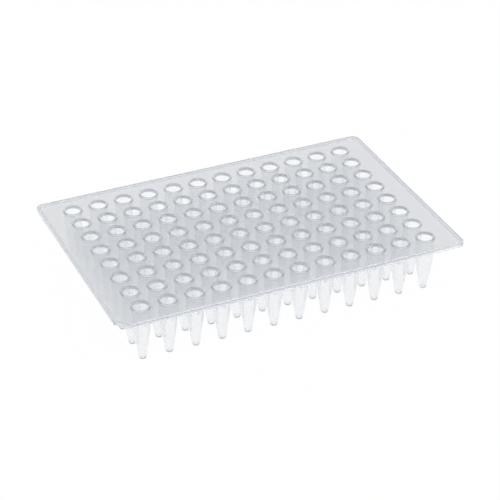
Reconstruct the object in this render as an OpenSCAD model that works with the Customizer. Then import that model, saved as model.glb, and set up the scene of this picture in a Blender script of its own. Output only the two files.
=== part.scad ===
// Unskirted well plate: a thin moulded deck that carries a grid of tapered
// thin-walled tubes, each open at a raised rim in the deck's top.
// The origin is on the surface the plate stands on, under the grid's centre:
// +X runs along a row of wells, +Y from the cut corner's side to the back,
// and +Z up. Depths are measured down from the plane of the rims.

/* [Well grid] */
// Number of wells in a row, along X
columns = 12; // [2:1:12]
// Number of rows, along Y
rows = 8; // [2:1:8]
// Distance between the axes of neighbouring wells
pitch = 9; // [7.5:0.25:12]

/* [Deck] */
// From the outermost wells' axes to the deck's edge, along X
end_margin = 10.5; // [7:0.25:15]
// From the outermost wells' axes to the deck's edge, along Y
side_margin = 8.5; // [7:0.25:15]
// Thickness of the deck's sheet
deck_thickness = 0.8; // [0.6:0.05:1.5]
// Radius of the three rounded corners
corner_radius = 2.5; // [1.5:0.1:5]
// Length along each side that the cut corner takes off
cut_corner = 4.2; // [2:0.1:6]
// Width of the lip that is turned down all round the deck
lip_width = 1; // [0.6:0.05:1.4]
// How far the lip hangs below the sheet
lip_drop = 0.6; // [0.2:0.05:3]

/* [Rims] */
// Height of a well's rim above the deck's top
rim_height = 0.25; // [0.1:0.05:1]
// Width of the rim round the bore, at its foot
rim_width = 0.8; // [0.6:0.05:1.1]
// Draft of the rim's outside, as the radius it loses from foot to top
rim_draft = 0.08; // [0:0.01:0.2]

/* [Wells] */
// Overall height, from the rims to the tips of the tubes
overall_height = 19.6; // [15:0.1:24]
// Bore at the top of the seat that a cap plugs into
seat_diameter = 5.3; // [4.4:0.05:5.8]
// Depth of the seat
seat_depth = 2.6; // [1.6:0.1:4]
// Draft of the seat, in degrees a side
seat_draft = 0.5; // [0.25:0.25:1.5]
// Width of the lead-in chamfer at the mouth
lead_in = 0.1; // [0.05:0.05:0.2]
// Depth at which the slim barrel turns into the cone
barrel_depth = 9.3; // [6:0.1:12]
// Draft of the barrel, in degrees a side
barrel_draft = 1.5; // [0.5:0.25:3]
// Wall of the tube
wall = 0.3; // [0.2:0.02:0.4]
// Radius of the fillet where a tube leaves the deck's underside
root_fillet = 0.3; // [0.05:0.05:0.4]

/* [Tips] */
// Diameter of the flat that ends a tube
tip_flat = 1.1; // [0.6:0.1:1.6]
// Radius of the rounded edge round that flat
tip_radius = 0.7; // [0.4:0.05:0.9]
// Thickness of the plastic under a well's lowest point
floor_thickness = 0.5; // [0.3:0.05:0.9]

/* [Hidden] */
$fn = 64;

// how far a well's cutter runs past the rim that it opens
clear = 1;

deck_length = (columns - 1) * pitch + 2 * end_margin;
deck_width = (rows - 1) * pitch + 2 * side_margin;

// heights of the deck's faces, the lip's foot and the barrel's foot
deck_top = overall_height - rim_height;
deck_under = deck_top - deck_thickness;
lip_foot = deck_under - lip_drop;
seat_foot = overall_height - seat_depth;
barrel_foot = overall_height - barrel_depth;

// the well's radii, from the mouth down to where the cone begins
seat_radius = seat_diameter / 2;
seat_foot_radius = seat_radius - seat_depth * tan(seat_draft);
barrel_radius = seat_foot_radius
    - (barrel_depth - seat_depth) * tan(barrel_draft);
rim_radius = seat_radius + rim_width;

// The cone's outside runs from the barrel's foot to touch the rounded edge
// round the tip. That edge is an arc centred tip_radius above the tip, over
// the rim of the flat. The cone leans from the vertical by the slant of the
// line between its top and the arc's centre, less what the arc takes.
tip_x = tip_flat / 2;
cone_run = barrel_radius + wall - tip_x;
cone_drop = barrel_foot - tip_radius;
half_cone = atan2(cone_run, cone_drop)
    - asin(tip_radius / norm([cone_run, cone_drop]));

// The well's bottom is a ball that its own cone, one wall inside the other,
// touches all round. Its radius follows from the cone's width at the floor.
floor_radius = barrel_radius - (barrel_foot - floor_thickness) * tan(half_cone);
ball_radius = floor_radius / (1 / cos(half_cone) - tan(half_cone));
ball_centre = floor_thickness + ball_radius;

// The deck's outline, drawn in by inset: three rounded corners and one cut.
module deck_outline(inset = 0) {
    x = deck_length / 2 - inset;
    y = deck_width / 2 - inset;
    r = corner_radius - inset;
    cut = cut_corner - inset * (2 - sqrt(2));
    polygon([
        [cut - x, -y], [x - r, -y], [x, r - y], [x, y - r],
        [x - r, y], [r - x, y], [-x, y - r], [-x, cut - y]
    ]);
    for (corner = [[x - r, r - y], [x - r, y - r], [r - x, y - r]])
        translate(corner) circle(r);
}

// The sheet with its lip turned down all round.
module deck() {
    translate([0, 0, deck_under])
        linear_extrude(deck_thickness) deck_outline();
    translate([0, 0, lip_foot])
        linear_extrude(deck_top - lip_foot)
            difference() {
                deck_outline();
                deck_outline(lip_width);
            }
}

// Half section of a tube's outside, from its tip up to its rim.
module tube_profile() {
    root = seat_radius + wall;
    polygon([
        [0, 0], [tip_x, 0], [tip_x, tip_radius],
        [tip_x + tip_radius * cos(half_cone),
            tip_radius - tip_radius * sin(half_cone)],
        [barrel_radius + wall, barrel_foot],
        [root, deck_under - root_fillet],
        [root, deck_under],
        [root + root_fillet, deck_under],
        [root + root_fillet, deck_top],
        [rim_radius, deck_top],
        [rim_radius - rim_draft, overall_height],
        [0, overall_height]
    ]);
    intersection() {
        translate([tip_x, tip_radius]) circle(tip_radius);
        translate([tip_x, 0]) square(tip_radius);
    }
    difference() {
        translate([root, deck_under - root_fillet]) square(root_fillet);
        translate([root + root_fillet, deck_under - root_fillet])
            circle(root_fillet);
    }
}

// Half section of the hollow inside a tube, open through the rim.
module well_profile() {
    polygon([
        [0, ball_centre],
        [ball_radius * cos(half_cone), ball_centre - ball_radius * sin(half_cone)],
        [barrel_radius, barrel_foot],
        [seat_foot_radius, seat_foot],
        [seat_radius, overall_height - lead_in],
        [seat_radius + lead_in, overall_height],
        [seat_radius + lead_in, overall_height + clear],
        [0, overall_height + clear]
    ]);
    intersection() {
        translate([0, ball_centre]) circle(ball_radius);
        square([ball_radius, ball_centre]);
    }
}

// Its children at every well's axis.
module at_wells() {
    for (i = [0 : columns - 1], j = [0 : rows - 1])
        translate([
            (i - (columns - 1) / 2) * pitch,
            (j - (rows - 1) / 2) * pitch,
            0
        ]) children();
}

module well_plate() {
    color([0.86, 0.89, 0.9])
        difference() {
            union() {
                deck();
                at_wells() rotate_extrude() tube_profile();
            }
            at_wells() rotate_extrude() well_profile();
        }
}

well_plate();
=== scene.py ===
"""An unskirted well plate of natural polypropylene, on a white studio floor."""

import logging
import math
from dataclasses import dataclass, field
from enum import Enum

import bpy
import numpy as np
from mathutils import Matrix, Vector


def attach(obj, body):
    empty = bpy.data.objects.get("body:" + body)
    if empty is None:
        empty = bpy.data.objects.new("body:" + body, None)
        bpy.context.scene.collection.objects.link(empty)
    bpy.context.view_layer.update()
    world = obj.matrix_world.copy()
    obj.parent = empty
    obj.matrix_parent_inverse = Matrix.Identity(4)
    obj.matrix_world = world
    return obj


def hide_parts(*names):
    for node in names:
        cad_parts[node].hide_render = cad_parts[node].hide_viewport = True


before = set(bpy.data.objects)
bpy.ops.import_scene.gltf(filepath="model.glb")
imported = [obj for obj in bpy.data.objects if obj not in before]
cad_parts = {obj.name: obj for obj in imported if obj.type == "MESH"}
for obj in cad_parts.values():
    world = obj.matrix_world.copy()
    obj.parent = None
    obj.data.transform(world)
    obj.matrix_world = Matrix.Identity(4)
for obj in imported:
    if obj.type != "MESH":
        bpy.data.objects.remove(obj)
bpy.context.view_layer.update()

LOG = logging.getLogger("well_plate")
MM = 0.001
NODE = "well_plate"
# A Mix node's two colour inputs and its colour output.
MIX_LOW, MIX_HIGH, MIX_RESULT = 6, 7, 2
# The slow noise that makes the gloss uneven, per metre, and what it multiplies roughness by.
GLOSS_SCALE = 90.0
GLOSS_DETAIL = 3.0
GLOSS_SPREAD = (0.8, 1.2)
# The fine noise of the surface, and its height in millimetres.
RIPPLE_DETAIL = 2.0
RIPPLE_HEIGHT = 0.02


def arc(centre: tuple, radius: float, start: float, end: float, steps: int) -> np.ndarray:
    """Points on a circle, evenly spaced in angle.

    Args:
        centre: the circle's centre in the profile's plane.
        radius: the circle's radius.
        start: the first point's angle in radians.
        end: the last point's angle in radians.
        steps: how many equal turns lie between the first and the last point.

    Returns:
        An array of steps + 1 points.
    """
    turn = np.linspace(start, end, steps + 1)
    return np.array(centre) + radius * np.column_stack((np.cos(turn), np.sin(turn)))


def rounded(points: list, radii: list, steps: int) -> np.ndarray:
    """A profile whose corners are replaced by arcs.

    Each arc touches both sides of its corner: its centre lies on the corner's
    bisector, at the radius over the sine of half the corner's angle.

    Args:
        points: the profile's corners, as pairs.
        radii: a radius for each corner, 0 for one that stays sharp.
        steps: how many chords make an arc.

    Returns:
        An array of points along the rounded profile.
    """
    corners = np.asarray(points, float)
    out = [corners[:1]]
    for before, corner, after, radius in zip(corners, corners[1:], corners[2:], radii[1:]):
        if radius <= 0:
            out.append(corner[None])
            continue
        back = (before - corner) / np.linalg.norm(before - corner)
        ahead = (after - corner) / np.linalg.norm(after - corner)
        half = math.acos(np.clip(back @ ahead, -1, 1)) / 2
        bisector = (back + ahead) / np.linalg.norm(back + ahead)
        centre = corner + bisector * radius / math.sin(half)
        first = corner + back * radius / math.tan(half) - centre
        last = corner + ahead * radius / math.tan(half) - centre
        start = math.atan2(first[1], first[0])
        sweep = math.atan2(first[0] * last[1] - first[1] * last[0], first @ last)
        out.append(arc(centre, radius, start, start + sweep, steps))
    out.append(corners[-1:])
    return np.concatenate(out)


def revolved(profile: np.ndarray, segments: int) -> np.ndarray:
    """Rings of a profile turned about Z: x = r cos t, y = r sin t, z = height.

    Args:
        profile: pairs of radius and height.
        segments: how many points make a ring.

    Returns:
        An array of rings by segments by 3.
    """
    turn = 2 * np.pi * np.arange(segments) / segments
    radius, height = profile[:, :1], profile[:, 1:]
    return np.stack(
        (radius * np.cos(turn), radius * np.sin(turn), height + 0 * turn), axis=-1
    )


def square_ring(half: float, height: float, segments: int) -> np.ndarray:
    """A ring slid out along its rays to a square.

    Each ray is as long as half the side over the larger of its cosine and sine.

    Args:
        half: half of the square's side.
        height: the height of the ring.
        segments: how many points make the ring, a multiple of 8.

    Returns:
        An array of 1 by segments by 3.
    """
    turn = 2 * np.pi * np.arange(segments) / segments
    reach = half / np.maximum(np.abs(np.cos(turn)), np.abs(np.sin(turn)))
    ring = (reach * np.cos(turn), reach * np.sin(turn), np.full(segments, height))
    return np.stack(ring, axis=-1)[None]


def band_quads(rings: int, segments: int) -> np.ndarray:
    """The quads between neighbouring rings, counter-clockwise from inside.

    Args:
        rings: how many rings there are.
        segments: how many points make a ring.

    Returns:
        An array of (rings - 1) * segments quads, ring by ring.
    """
    ring, k = np.meshgrid(np.arange(rings - 1), np.arange(segments), indexing="ij")
    after = (k + 1) % segments
    quads = np.stack(
        (
            ring * segments + k,
            ring * segments + after,
            (ring + 1) * segments + after,
            (ring + 1) * segments + k,
        ),
        axis=-1,
    )
    return quads.reshape(-1, 4)


@dataclass
class Skin:
    """A surface: its points and its triangles."""

    points: np.ndarray
    triangles: np.ndarray

    @classmethod
    def of_rings(cls, rings: np.ndarray, pole: float | None, outward: bool) -> "Skin":
        """A surface through rings, closed at its end by a pole where one is given.

        Args:
            rings: an array of rings by segments by 3.
            pole: the height of the pole on the axis, or None for an open end.
            outward: whether the faces are turned away from the axis.

        Returns:
            The surface.
        """
        count, segments = rings.shape[:2]
        points = rings.reshape(-1, 3)
        quads = band_quads(count, segments)
        triangles = np.concatenate((quads[:, [0, 1, 2]], quads[:, [0, 2, 3]]))
        if pole is not None:
            k = np.arange(segments)
            last = (count - 1) * segments
            fan = np.column_stack(
                (last + k, last + (k + 1) % segments, np.full(segments, len(points)))
            )
            points = np.vstack((points, [0, 0, pole]))
            triangles = np.concatenate((triangles, fan))
        if outward:
            triangles = triangles[:, ::-1]
        return cls(points, triangles)

    def repeated(self, places: np.ndarray) -> "Skin":
        """Copies of the surface, each moved to a place: point = own point + place.

        Args:
            places: an array of places by 3.

        Returns:
            One surface of all the copies.
        """
        count = len(self.points)
        points = (places[:, None] + self.points[None]).reshape(-1, 3)
        steps = (np.arange(len(places)) * count)[:, None, None]
        triangles = (self.triangles[None] + steps).reshape(-1, 3)
        return Skin(points, triangles)

    @staticmethod
    def joined(skins: list["Skin"], grain: float = 1e-4) -> "Skin":
        """Several surfaces as one, with the points that they share merged.

        Points are the same where their coordinates round to the same grain.
        Triangles that a merge leaves with two equal corners are dropped.

        Args:
            skins: the surfaces.
            grain: the size in millimetres that coordinates are rounded to.

        Returns:
            The joined surface.
        """
        counts = np.cumsum([0] + [len(s.points) for s in skins])
        points = np.concatenate([s.points for s in skins])
        triangles = np.concatenate([s.triangles + n for s, n in zip(skins, counts)])
        keys = np.round(points / grain).astype(np.int64)
        _, first, same = np.unique(keys, axis=0, return_index=True, return_inverse=True)
        triangles = same.reshape(-1)[triangles]
        whole = (
            (triangles[:, 0] != triangles[:, 1])
            & (triangles[:, 1] != triangles[:, 2])
            & (triangles[:, 2] != triangles[:, 0])
        )
        return Skin(points[first], triangles[whole])

    def open_edges(self) -> int:
        """How many edges don't belong to exactly two triangles, run both ways."""
        sides = ((0, 1), (1, 2), (2, 0))
        edges = np.concatenate([self.triangles[:, [a, b]] for a, b in sides])
        size = len(self.points)
        ahead = np.sort(edges[:, 0] * size + edges[:, 1])
        back = np.sort(edges[:, 1] * size + edges[:, 0])
        return int(np.count_nonzero(ahead != back)) + len(ahead) - len(np.unique(ahead))

    def mesh(self, name: str, crease: float) -> bpy.types.Mesh:
        """The surface as a smooth-shaded mesh in metres, sharp past an angle.

        Args:
            name: the mesh's name.
            crease: the angle in radians past which an edge stays sharp.

        Returns:
            The new mesh.
        """
        made = bpy.data.meshes.new(name)
        made.from_pydata((self.points * MM).tolist(), [], self.triangles.tolist())
        made.shade_smooth()
        made.set_sharp_from_angle(angle=crease)
        made.update()
        return made


@dataclass
class WellGrid:
    """Where the wells stand: columns along X and rows along Y, one pitch apart."""

    columns: int = 12
    rows: int = 8
    pitch: float = 9.0

    def places(self) -> np.ndarray:
        """Each well's axis: (index - half of the last index) * pitch on both axes."""
        x = (np.arange(self.columns) - (self.columns - 1) / 2) * self.pitch
        y = (np.arange(self.rows) - (self.rows - 1) / 2) * self.pitch
        across, along = np.meshgrid(x, y, indexing="ij")
        return np.column_stack((across.ravel(), along.ravel(), np.zeros(across.size)))

    def half_size(self) -> np.ndarray:
        """Half of the length and width that the wells' square cells cover."""
        return np.array([self.columns, self.rows]) * self.pitch / 2

    def stations(self, cells: int, segments: int) -> np.ndarray:
        """Where the cells' points lie along one side of the grid.

        In a cell they lie at half the pitch times the tangent of equal angles.

        Args:
            cells: how many cells the side has.
            segments: how many points a cell's square has all round.

        Returns:
            The distances from the side's middle, from end to end.
        """
        turn = np.linspace(-np.pi / 4, np.pi / 4, segments // 4 + 1)[:-1]
        cell = self.pitch / 2 * (1 + np.tan(turn))
        starts = (np.arange(cells) - cells / 2) * self.pitch
        inner = (starts[:, None] + cell[None]).ravel()
        return np.append(inner, cells * self.pitch / 2)


@dataclass
class Heights:
    """The levels that deck and tubes share, above the tips, in millimetres."""

    overall: float = 19.6
    rim: float = 0.25
    sheet: float = 0.8
    lip_drop: float = 0.6

    @property
    def deck_top(self) -> float:
        """The deck's top, one rim below the overall height."""
        return self.overall - self.rim

    @property
    def deck_under(self) -> float:
        """The underside of the deck's sheet."""
        return self.deck_top - self.sheet

    @property
    def lip_foot(self) -> float:
        """The foot of the turned-down lip."""
        return self.deck_under - self.lip_drop


@dataclass
class Tube:
    """One well: its hollow, its rim and the tube round it.

    Sizes are in millimetres and drafts in degrees. The rim's lean is how far its side draws in,
    the margin is a flat ring that keeps the shading of rim and fillet off the deck, and the steps
    are how many chords make each arc.
    """

    heights: Heights
    pitch: float
    seat_diameter: float = 5.3
    seat_depth: float = 2.6
    seat_draft: float = 0.5
    lead_in: float = 0.1
    rim_width: float = 0.8
    rim_lean: float = 0.08
    barrel_depth: float = 9.3
    barrel_draft: float = 1.5
    wall: float = 0.3
    root_fillet: float = 0.3
    tip_flat: float = 1.1
    tip_radius: float = 0.7
    floor_thickness: float = 0.5
    kink_radius: float = 3.0
    edge_radius: float = 0.06
    margin: float = 0.3
    segments: int = 32
    wall_steps: int = 1
    ball_steps: int = 5
    fillet_steps: int = 3
    kink_steps: int = 2
    tip_steps: int = 3
    barrel_foot: float = field(init=False)
    seat_foot: float = field(init=False)
    mouth: float = field(init=False)
    seat_end: float = field(init=False)
    barrel: float = field(init=False)
    tip_x: float = field(init=False)
    slant: float = field(init=False)
    ball: float = field(init=False)
    ball_centre: float = field(init=False)

    def __post_init__(self) -> None:
        """Works out the radii, the cone's slant and the ball at the bottom."""
        self.barrel_foot = self.heights.overall - self.barrel_depth
        self.seat_foot = self.heights.overall - self.seat_depth
        self.mouth = self.seat_diameter / 2
        self.seat_end = self.mouth - self.seat_depth * math.tan(
            math.radians(self.seat_draft)
        )
        self.barrel = self.seat_end - (self.barrel_depth - self.seat_depth) * math.tan(
            math.radians(self.barrel_draft)
        )
        self.tip_x = self.tip_flat / 2
        run = self.barrel + self.wall - self.tip_x
        drop = self.barrel_foot - self.tip_radius
        self.slant = math.atan2(run, drop) - math.asin(
            self.tip_radius / math.hypot(run, drop)
        )
        at_floor = self.barrel - (self.barrel_foot - self.floor_thickness) * math.tan(
            self.slant
        )
        self.ball = at_floor / (1 / math.cos(self.slant) - math.tan(self.slant))
        self.ball_centre = self.floor_thickness + self.ball

    def inside(self) -> Skin:
        """The cell's top: deck, rim, and the hollow down to its ball-shaped bottom.

        Returns:
            A surface from the cell's square edge in to the pole of the ball.
        """
        h = self.heights
        rim_foot = self.mouth + self.rim_width
        ball = arc(
            (0, self.ball_centre),
            self.ball,
            -self.slant,
            -math.pi / 2,
            self.ball_steps,
        )
        wall = rounded(
            [
                (rim_foot + self.margin, h.deck_top),
                (rim_foot, h.deck_top),
                (rim_foot - self.rim_lean, h.overall),
                (self.mouth + self.lead_in, h.overall),
                (self.mouth, h.overall - self.lead_in),
                (self.seat_end, self.seat_foot),
                (self.barrel, self.barrel_foot),
                tuple(ball[0]),
            ],
            [0, 0, self.edge_radius, self.edge_radius, 0, 0, self.kink_radius],
            self.wall_steps,
        )
        profile = np.vstack((wall, ball[1:-1]))
        rings = np.concatenate(
            (
                square_ring(self.pitch / 2, h.deck_top, self.segments),
                revolved(profile, self.segments),
            )
        )
        return Skin.of_rings(rings, self.floor_thickness, outward=False)

    def outside(self) -> Skin:
        """The cell's underside: deck, fillet and the tube down to its flat tip.

        Returns:
            A surface from the cell's square edge in to the middle of the tip.
        """
        h = self.heights
        root = self.mouth + self.wall
        spread = root + self.root_fillet
        fillet = arc(
            (spread, h.deck_under - self.root_fillet),
            self.root_fillet,
            math.pi / 2,
            math.pi,
            self.fillet_steps,
        )
        tip = arc(
            (self.tip_x, self.tip_radius),
            self.tip_radius,
            -self.slant,
            -math.pi / 2,
            self.tip_steps,
        )
        kink = rounded(
            [
                tuple(fillet[-1]),
                (self.barrel + self.wall, self.barrel_foot),
                tuple(tip[0]),
            ],
            [0, self.kink_radius],
            self.kink_steps,
        )
        profile = np.vstack(
            ([(spread + self.margin, h.deck_under)], fillet, kink[1:-1], tip)
        )
        rings = np.concatenate(
            (
                square_ring(self.pitch / 2, h.deck_under, self.segments),
                revolved(profile, self.segments),
            )
        )
        return Skin.of_rings(rings, 0.0, outward=True)


@dataclass
class DeckEdge:
    """The deck outside the grid of cells, with its cut corner and its lip, in millimetres.

    The margin is a flat strip that keeps the shading of the edge off the deck.
    """

    grid: WellGrid
    heights: Heights
    end_margin: float = 10.5
    side_margin: float = 8.5
    corner_radius: float = 2.5
    cut_corner: float = 4.2
    lip_width: float = 1.0
    edge_radius: float = 0.15
    margin: float = 0.35
    segments: int = 32
    corner_steps: int = 8
    edge_steps: int = 3
    half: np.ndarray = field(init=False)

    def __post_init__(self) -> None:
        """Works out half of the deck's length and width."""
        cells = self.grid.half_size()
        self.half = cells - self.grid.pitch / 2 + (self.end_margin, self.side_margin)

    def side(self, stations: np.ndarray, low: float, high: float) -> np.ndarray:
        """A side's stations, stretched to lie between two ends.

        Args:
            stations: distances along the grid's own side.
            low: where the first one goes.
            high: where the last one goes.

        Returns:
            The stretched distances.
        """
        share = (stations - stations[0]) / (stations[-1] - stations[0])
        return low + share * (high - low)

    def outline(self, inset: float) -> np.ndarray:
        """The deck's outline drawn in by inset, counter-clockwise from above.

        The straight sides move in by the inset, the arcs lose it from their
        radius, and the 45-degree cut loses it times two less the root of two
        from its length along each side.

        Args:
            inset: how far inside the deck's edge the outline lies.

        Returns:
            The outline's points in the plane, in the order of the grid's edge.
        """
        x, y = self.half - inset
        r = self.corner_radius - inset
        cut = self.cut_corner - inset * (2 - math.sqrt(2))
        ends = self.grid.stations(self.grid.rows, self.segments)
        lengths = self.grid.stations(self.grid.columns, self.segments)
        inner = slice(1, -1)
        quarter = math.pi / 2
        steps = self.corner_steps
        right = self.side(ends, r - y, y - r)
        back = self.side(lengths, r - x, x - r)[::-1]
        left = self.side(ends, cut - y, y - r)[::-1]
        front = self.side(lengths, cut - x, x - r)
        share = np.linspace(0, 1, steps + 1)[inner, None]
        chamfer = (1 - share) * (-x, cut - y) + share * (cut - x, -y)
        return np.vstack(
            (
                np.column_stack((np.full(len(right), x), right)),
                arc((x - r, y - r), r, 0, quarter, steps)[inner],
                np.column_stack((back, np.full(len(back), y))),
                arc((r - x, y - r), r, quarter, 2 * quarter, steps)[inner],
                np.column_stack((np.full(len(left), -x), left)),
                chamfer,
                np.column_stack((front, np.full(len(front), -y))),
                arc((x - r, r - y), r, -quarter, 0, steps)[inner],
            )
        )

    def grid_edge(self) -> np.ndarray:
        """The grid's own edge, with each corner repeated to match the outline.

        Returns:
            The edge's points in the plane, in the same order as the outline's.
        """
        x, y = self.grid.half_size()
        ends = self.grid.stations(self.grid.rows, self.segments)
        lengths = self.grid.stations(self.grid.columns, self.segments)
        repeats = self.corner_steps - 1
        return np.vstack(
            (
                np.column_stack((np.full(len(ends), x), ends)),
                np.tile((x, y), (repeats, 1)),
                np.column_stack((lengths[::-1], np.full(len(lengths), y))),
                np.tile((-x, y), (repeats, 1)),
                np.column_stack((np.full(len(ends), -x), ends[::-1])),
                np.tile((-x, -y), (repeats, 1)),
                np.column_stack((lengths, np.full(len(lengths), -y))),
                np.tile((x, -y), (repeats, 1)),
            )
        )

    def skin(self) -> Skin:
        """The margin's top, the edge, the lip and the margin's underside.

        The edge's section is a profile of inset against height, and each of
        its points carries the whole outline at that inset.

        Returns:
            A surface from the grid's edge on top round to the one below.
        """
        h = self.heights
        r = self.edge_radius
        section = rounded(
            [
                (self.margin, h.deck_top),
                (0, h.deck_top),
                (0, h.lip_foot),
                (self.lip_width, h.lip_foot),
                (self.lip_width, h.deck_under),
                (self.lip_width + self.margin, h.deck_under),
            ],
            [0, r, r, r, r],
            self.edge_steps,
        )
        edge = self.grid_edge()
        lines = [edge, *(self.outline(inset) for inset in section[:, 0]), edge]
        levels = [h.deck_top, *section[:, 1], h.deck_under]
        rings = np.stack(
            [
                np.column_stack((line, np.full(len(line), level)))
                for line, level in zip(lines, levels)
            ]
        )
        return Skin.of_rings(rings, None, outward=True)


class Pairing(Enum):
    """How a Math node puts two values together."""

    LARGER = "MAXIMUM"
    PRODUCT = "MULTIPLY"


def paired(
    tree: bpy.types.NodeTree,
    way: Pairing,
    first: bpy.types.NodeSocket,
    second: bpy.types.NodeSocket | float,
) -> bpy.types.NodeSocket:
    """The larger one or the product of two values.

    Args:
        tree: the node tree.
        way: how the two are put together.
        first: the socket that carries the first value.
        second: the second value, or the socket that carries it.

    Returns:
        The socket that carries the result.
    """
    node = tree.nodes.new("ShaderNodeMath")
    node.operation = way.value
    tree.links.new(first, node.inputs[0])
    if isinstance(second, float):
        node.inputs[1].default_value = second
    else:
        tree.links.new(second, node.inputs[1])
    return node.outputs["Value"]


def ranged(
    tree: bpy.types.NodeTree,
    mask: bpy.types.NodeSocket,
    low: bpy.types.NodeSocket | float,
    high: float,
) -> bpy.types.NodeSocket:
    """A value that goes from one to another as a mask goes from 0 to 1.

    Args:
        tree: the node tree.
        mask: the socket that carries the mask.
        low: the value where the mask is 0, or the socket that carries it.
        high: the value where the mask is 1.

    Returns:
        The socket that carries the value.
    """
    node = tree.nodes.new("ShaderNodeMapRange")
    node.inputs["To Max"].default_value = high
    if isinstance(low, float):
        node.inputs["To Min"].default_value = low
    else:
        tree.links.new(low, node.inputs["To Min"])
    tree.links.new(mask, node.inputs["Value"])
    return node.outputs["Result"]


def height_mask(tree: bpy.types.ShaderNodeTree, level: float, zone: tuple) -> bpy.types.NodeSocket:
    """A mask by the point's own height: 0 below a narrow zone near one level, and 1 above it.

    Args:
        tree: the material's node tree.
        level: the height in millimetres that the zone is near.
        zone: where the mask leaves 0 and where it reaches 1, in millimetres above that level.

    Returns:
        The socket that carries the mask.
    """
    place = tree.nodes.new("ShaderNodeTexCoord")
    split = tree.nodes.new("ShaderNodeSeparateXYZ")
    mask = tree.nodes.new("ShaderNodeMapRange")
    mask.inputs["From Min"].default_value = (level + zone[0]) * MM
    mask.inputs["From Max"].default_value = (level + zone[1]) * MM
    tree.links.new(place.outputs["Object"], split.inputs["Vector"])
    tree.links.new(split.outputs["Z"], mask.inputs["Value"])
    return mask.outputs["Result"]


def blended(
    tree: bpy.types.ShaderNodeTree,
    mask: bpy.types.NodeSocket,
    low: bpy.types.NodeSocket | tuple,
    high: tuple,
) -> bpy.types.NodeSocket:
    """A colour that goes from one to another as a mask goes from 0 to 1.

    Args:
        tree: the material's node tree.
        mask: the socket that carries the mask.
        low: the colour where the mask is 0, or the socket that carries it.
        high: the colour where the mask is 1.

    Returns:
        The socket that carries the colour.
    """
    mix = tree.nodes.new("ShaderNodeMix")
    mix.data_type = "RGBA"
    mix.inputs[MIX_HIGH].default_value = (*high, 1)
    if isinstance(low, tuple):
        mix.inputs[MIX_LOW].default_value = (*low, 1)
    else:
        tree.links.new(low, mix.inputs[MIX_LOW])
    tree.links.new(mask, mix.inputs["Factor"])
    return mix.outputs[MIX_RESULT]


def moulded_skin() -> bpy.types.ShaderNodeTree:
    """The node group that gives a moulded surface its ripple and uneven gloss.

    Roughness is the given value times a soft noise, stretched to its spread,
    and the normal comes from a finer noise as height.

    Returns:
        The new group.
    """
    group = bpy.data.node_groups.new("moulded_skin", "ShaderNodeTree")
    for label, kind in (
        ("Place", "NodeSocketVector"),
        ("Roughness", "NodeSocketFloat"),
        ("Ripple", "NodeSocketFloat"),
        ("Size", "NodeSocketFloat"),
    ):
        group.interface.new_socket(label, in_out="INPUT", socket_type=kind)
    for label, kind in (("Roughness", "NodeSocketFloat"), ("Normal", "NodeSocketVector")):
        group.interface.new_socket(label, in_out="OUTPUT", socket_type=kind)
    nodes, links = group.nodes, group.links
    given = nodes.new("NodeGroupInput")
    result = nodes.new("NodeGroupOutput")
    gloss = nodes.new("ShaderNodeTexNoise")
    gloss.inputs["Detail"].default_value = GLOSS_DETAIL
    gloss.inputs["Scale"].default_value = GLOSS_SCALE
    spread = ranged(group, gloss.outputs["Fac"], *GLOSS_SPREAD)
    roughness = paired(group, Pairing.PRODUCT, spread, given.outputs["Roughness"])
    height = nodes.new("ShaderNodeTexNoise")
    height.inputs["Detail"].default_value = RIPPLE_DETAIL
    bump = nodes.new("ShaderNodeBump")
    bump.inputs["Distance"].default_value = RIPPLE_HEIGHT * MM
    links.new(given.outputs["Place"], gloss.inputs["Vector"])
    links.new(given.outputs["Place"], height.inputs["Vector"])
    links.new(given.outputs["Size"], height.inputs["Scale"])
    links.new(roughness, result.inputs["Roughness"])
    links.new(height.outputs["Fac"], bump.inputs["Height"])
    links.new(given.outputs["Ripple"], bump.inputs["Strength"])
    links.new(bump.outputs["Normal"], result.inputs["Normal"])
    return group


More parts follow.
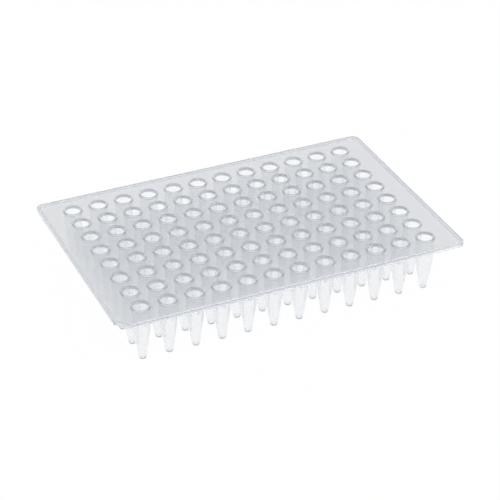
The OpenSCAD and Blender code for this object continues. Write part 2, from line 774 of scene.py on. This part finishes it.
@dataclass(frozen=True)
class Polypropylene:
    """Natural polypropylene: it is clear where it is thin and milky where it is thick.

    The mould is polished for the tubes, satin at the mouths and the deck's outer edge, and finer
    than that on the deck's top. A grey painted shade darkens the deck's top and the rims' sides,
    and a darker painted shade rings the rims' tops. Each zone is where a finish or a painted shade
    starts and is complete, in millimetres above the sheet's underside, the deck's top or the rims'
    top. The body's and the cloud's densities and the ripple's size are counts per metre.
    """

    tube_tint: tuple = (0.99, 0.995, 1.0)
    tube_roughness: float = 0.1
    wall_zone: tuple = (0.1, 0.15)
    wall_roughness: float = 0.3
    deck_zone: tuple = (-0.07, -0.01)
    # Painted shade: a grey on the deck's top that stands in for the dimmer light the milky sheet
    # scatters.
    deck_painted_shade: tuple = (0.725, 0.735, 0.75)
    deck_roughness: float = 0.18
    rim_zone: tuple = (0.02, 0.07)
    # Painted shade on the rims' sides and the mouths' lead-in, a little lighter than the deck's so
    # the rims' near walls show no dark crescent.
    rim_side_painted_shade: tuple = (0.76, 0.77, 0.79)
    crown_zone: tuple = (-0.04, -0.01)
    # Painted shade: a dark ring on the rims' tops, standing in for the dark ring that refraction
    # through rim and tube wall shows.
    rim_top_painted_shade: tuple = (0.6, 0.62, 0.645)
    ripple: float = 0.1
    ripple_size: float = 400.0
    refraction: float = 1.49
    body_colour: tuple = (0.2, 0.27, 0.37)
    body_density: float = 90.0
    cloud_colour: tuple = (0.99, 0.995, 1.0)
    cloud_density: float = 230.0

    def body(self, tree: bpy.types.ShaderNodeTree) -> None:
        """The plastic's inside: it takes up some light and scatters some.

        Args:
            tree: the material's node tree.
        """
        grey = tree.nodes.new("ShaderNodeVolumeAbsorption")
        grey.inputs["Color"].default_value = (*self.body_colour, 1)
        grey.inputs["Density"].default_value = self.body_density
        cloud = tree.nodes.new("ShaderNodeVolumeScatter")
        cloud.inputs["Color"].default_value = (*self.cloud_colour, 1)
        cloud.inputs["Density"].default_value = self.cloud_density
        both = tree.nodes.new("ShaderNodeAddShader")
        tree.links.new(grey.outputs["Volume"], both.inputs[0])
        tree.links.new(cloud.outputs["Volume"], both.inputs[1])
        tree.links.new(both.outputs["Shader"], tree.nodes["Material Output"].inputs["Volume"])

    def material(self, heights: Heights) -> bpy.types.Material:
        """The plastic, near-white on the tubes, with painted shade on the deck's top and the rims.

        Args:
            heights: the plate's levels, which the masks follow.

        Returns:
            The new material.
        """
        made = bpy.data.materials.new("milky_plastic_painted_shade")
        made.use_nodes = True
        tree = made.node_tree
        shader = tree.nodes["Principled BSDF"]
        shader.inputs["Transmission Weight"].default_value = 1.0
        shader.inputs["IOR"].default_value = self.refraction
        self.body(tree)
        on_wall = height_mask(tree, heights.deck_under, self.wall_zone)
        on_deck = height_mask(tree, heights.deck_top, self.deck_zone)
        on_rim = height_mask(tree, heights.deck_top, self.rim_zone)
        on_crown = height_mask(tree, heights.overall, self.crown_zone)
        # The tubes keep the plastic's near-white; painted shade darkens it on the deck's top, the
        # rims' sides and, darkest, the rims' tops.
        tint_and_painted_shade = blended(tree, on_deck, self.tube_tint, self.deck_painted_shade)
        tint_and_painted_shade = blended(tree, on_rim, tint_and_painted_shade, self.rim_side_painted_shade)
        tint_and_painted_shade = blended(tree, on_crown, tint_and_painted_shade, self.rim_top_painted_shade)
        tree.links.new(tint_and_painted_shade, shader.inputs["Base Color"])
        below = ranged(tree, on_wall, self.tube_roughness, self.wall_roughness)
        roughness = ranged(tree, on_deck, below, self.deck_roughness)
        place = tree.nodes.new("ShaderNodeTexCoord")
        skin = tree.nodes.new("ShaderNodeGroup")
        skin.node_tree = moulded_skin()
        skin.inputs["Ripple"].default_value = self.ripple
        skin.inputs["Size"].default_value = self.ripple_size
        tree.links.new(place.outputs["Object"], skin.inputs["Place"])
        tree.links.new(roughness, skin.inputs["Roughness"])
        tree.links.new(skin.outputs["Roughness"], shader.inputs["Roughness"])
        tree.links.new(skin.outputs["Normal"], shader.inputs["Normal"])
        return made


@dataclass
class WellPlate:
    """The whole moulding: deck, lip, rims and 96 tubes in one closed skin.

    The crease is the angle in radians past which an edge stays sharp.
    """

    grid: WellGrid = field(default_factory=WellGrid)
    heights: Heights = field(default_factory=Heights)
    plastic: Polypropylene = field(default_factory=Polypropylene)
    crease: float = math.radians(32)

    def build(self) -> bpy.types.Object:
        """Makes the skin from its cells and its edge and puts it in the scene.

        Returns:
            The plate as one object.
        """
        tube = Tube(self.heights, self.grid.pitch)
        edge = DeckEdge(self.grid, self.heights, segments=tube.segments)
        places = self.grid.places()
        skin = Skin.joined(
            [tube.inside().repeated(places), tube.outside().repeated(places), edge.skin()]
        )
        LOG.info(
            "plate: %d points, %d triangles, %d open edges",
            len(skin.points),
            len(skin.triangles),
            skin.open_edges(),
        )
        plate = bpy.data.objects.new("plate", skin.mesh("plate", self.crease))
        bpy.context.scene.collection.objects.link(plate)
        return plate

    def dress(self, plate: bpy.types.Object) -> None:
        """Gives the plate its plastic and its place in the frame.

        Args:
            plate: the object that build made.
        """
        plate.data.materials.append(self.plastic.material(self.heights))
        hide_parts(NODE)
        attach(plate, "root")


@dataclass
class Studio:
    """A white floor, soft light from all round and the camera.

    The camera's place and aim and its lens and film are in millimetres, the floor's size and the
    camera's reach are in metres, and angles are in degrees. The lamp's strength is in watts per
    square metre, and a tone, a glow or a sky level of 1 is white.
    """

    floor_size: float = 6.0
    floor_tone: float = 0.9
    floor_glow: float = 0.98
    sky_low: float = 0.55
    sky_high: float = 1.0
    key_strength: float = 0.4
    key_tilt: float = 35.0
    key_heading: float = 30.0
    key_spread: float = 30.0
    camera_place: tuple = (-212.367, -489.139, 341.911)
    camera_aim: tuple = (-5.918, -16.025, 19.75)
    camera_roll: float = 0.373
    camera_lens: float = 136.245
    camera_film: float = 36.0
    camera_reach: tuple = (0.01, 20.0)
    bounces: int = 128
    floor_bounces: int = 32

    def floor(self) -> None:
        """The floor: it lights the plate with its tone, and is seen as white."""
        half = self.floor_size / 2
        mesh = bpy.data.meshes.new("floor")
        mesh.from_pydata(
            [(-half, -half, 0), (half, -half, 0), (half, half, 0), (-half, half, 0)],
            [],
            [(0, 1, 2, 3)],
        )
        floor = bpy.data.objects.new("floor", mesh)
        bpy.context.scene.collection.objects.link(floor)
        made = bpy.data.materials.new("floor")
        made.use_nodes = True
        tree = made.node_tree
        nodes, links = tree.nodes, tree.links
        paper = nodes["Principled BSDF"]
        paper.inputs["Roughness"].default_value = 1
        paper.inputs["Specular IOR Level"].default_value = 0
        paper.inputs["Base Color"].default_value = (*[self.floor_tone] * 3, 1)
        white = nodes.new("ShaderNodeEmission")
        path = nodes.new("ShaderNodeLightPath").outputs
        carried = paired(tree, Pairing.LARGER, path["Is Glossy Ray"], path["Is Transmission Ray"])
        direct = paired(tree, Pairing.PRODUCT, path["Is Camera Ray"], self.floor_glow)
        share = paired(tree, Pairing.LARGER, carried, direct)
        mix = nodes.new("ShaderNodeMixShader")
        links.new(share, mix.inputs["Fac"])
        links.new(paper.outputs["BSDF"], mix.inputs[1])
        links.new(white.outputs["Emission"], mix.inputs[2])
        links.new(mix.outputs["Shader"], nodes["Material Output"].inputs["Surface"])
        mesh.materials.append(made)

    def sky(self) -> None:
        """A world that is brightest overhead and greyer towards the horizon."""
        world = bpy.data.worlds.new("studio")
        bpy.context.scene.world = world
        world.use_nodes = True
        tree = world.node_tree
        nodes, links = tree.nodes, tree.links
        place = nodes.new("ShaderNodeTexCoord")
        split = nodes.new("ShaderNodeSeparateXYZ")
        links.new(place.outputs["Generated"], split.inputs["Vector"])
        dome = ranged(tree, split.outputs["Z"], self.sky_low, self.sky_high)
        nodes["Background"].inputs["Color"].default_value = (1, 1, 1, 1)
        path = nodes.new("ShaderNodeLightPath").outputs
        carried = paired(tree, Pairing.LARGER, path["Is Glossy Ray"], path["Is Transmission Ray"])
        shown = paired(tree, Pairing.LARGER, carried, path["Is Camera Ray"])
        level = paired(tree, Pairing.LARGER, shown, dome)
        links.new(level, nodes["Background"].inputs["Strength"])

    def key_lamp(self) -> None:
        """A distant lamp with a soft edge, tilted from straight down and turned to its heading."""
        data = bpy.data.lights.new("key", "SUN")
        data.energy = self.key_strength
        data.angle = math.radians(self.key_spread)
        lamp = bpy.data.objects.new("key", data)
        lamp.rotation_euler = (math.radians(self.key_tilt), 0, math.radians(self.key_heading))
        bpy.context.scene.collection.objects.link(lamp)

    def camera(self) -> None:
        """The camera: it looks from its place at its aim, rolled about that line."""
        data = bpy.data.cameras.new("camera")
        data.lens = self.camera_lens
        data.sensor_width = self.camera_film
        data.clip_start, data.clip_end = self.camera_reach
        camera = bpy.data.objects.new("camera", data)
        place = Vector(self.camera_place) * MM
        view = Vector(self.camera_aim) * MM - place
        turn = view.to_track_quat("-Z", "Y").to_matrix().to_4x4()
        roll = Matrix.Rotation(math.radians(-self.camera_roll), 4, "Z")
        camera.matrix_world = Matrix.Translation(place) @ turn @ roll
        bpy.context.scene.collection.objects.link(camera)
        bpy.context.scene.camera = camera

    def light_paths(self) -> None:
        """Light runs on through the many walls, and no skin is blurred on its way."""
        scene = bpy.context.scene
        scene.view_settings.view_transform = "Standard"
        scene.cycles.max_bounces = self.bounces
        scene.cycles.volume_bounces = self.bounces
        scene.cycles.transmission_bounces = self.bounces
        scene.cycles.glossy_bounces = self.bounces
        scene.cycles.diffuse_bounces = self.floor_bounces
        scene.cycles.blur_glossy = 0.0


def main() -> None:
    """Builds the plate and its studio."""
    logging.basicConfig(level=logging.INFO, format="%(name)s: %(message)s")
    plate = WellPlate()
    shown = plate.build()
    plate.dress(shown)
    LOG.info("plate: one piece, replaces %s", NODE)
    studio = Studio()
    studio.floor()
    studio.sky()
    studio.key_lamp()
    studio.camera()
    studio.light_paths()
    LOG.info("studio: floor, sky, key lamp and camera")


if __name__ == "__main__":
    main()
